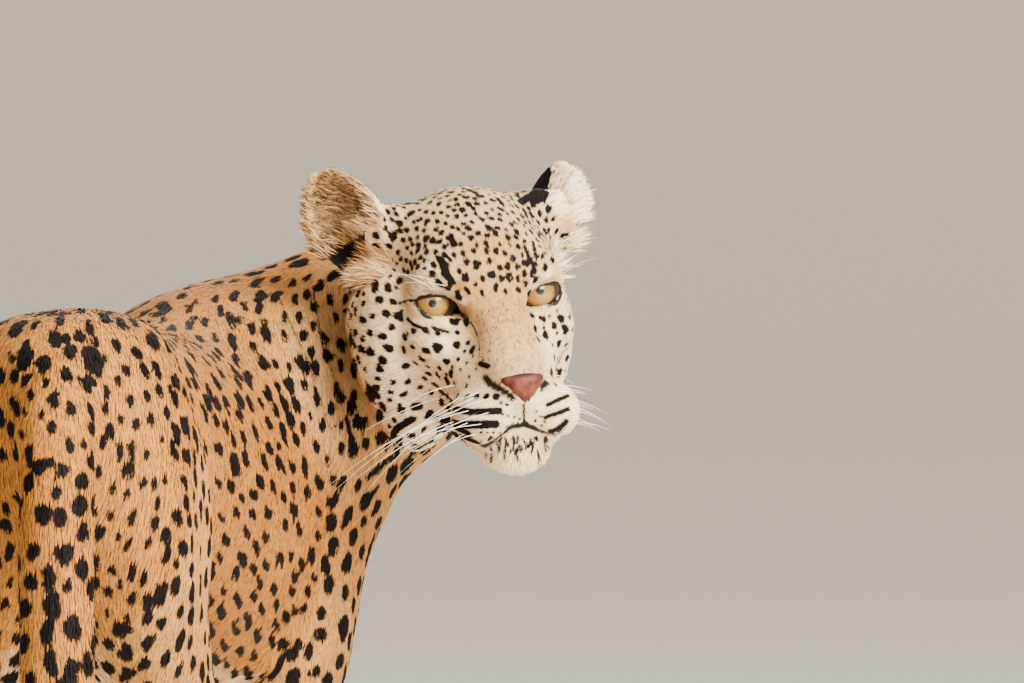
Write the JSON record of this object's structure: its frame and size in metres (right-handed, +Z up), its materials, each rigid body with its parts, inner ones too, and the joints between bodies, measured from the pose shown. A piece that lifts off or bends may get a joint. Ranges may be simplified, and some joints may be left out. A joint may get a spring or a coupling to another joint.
{
  "type": "leopard",
  "caption": "Life-size standing leopardess that looks back over its right shoulder, with a spotted coat, a hanging tail and one torn ear.",
  "frame": {"origin": "on the floor, in the middle of the base of the box around the animal", "axes": "+Z up, the body faces -Y, its left side is towards +X"},
  "size_m": [0.4162, 1.1702, 0.6832],
  "materials": {
    "coat": "short golden fur with black spots",
    "face_coat": "short cream fur with small black spots",
    "nose_leather": "moist pink skin with a dark edge",
    "eye": "wet amber"
  },
  "bodies": {
    "root": {"torso": "coat", "neck": "coat", "head": "face_coat", "lower_jaw": "face_coat", "nose": "nose_leather", "ear_left": "face_coat", "ear_right": "face_coat", "eye_left": "eye", "eye_right": "eye", "tail_root": "coat", "tail_middle": "coat", "tail_tip": "coat", "fore_left_upper": "coat", "fore_left_lower": "coat", "fore_left_paw": "coat", "fore_right_upper": "coat", "fore_right_lower": "coat", "fore_right_paw": "coat", "hind_left_upper": "coat", "hind_left_lower": "coat", "hind_left_paw": "coat", "hind_right_upper": "coat", "hind_right_lower": "coat", "hind_right_paw": "coat"}
  },
  "joints": []
}
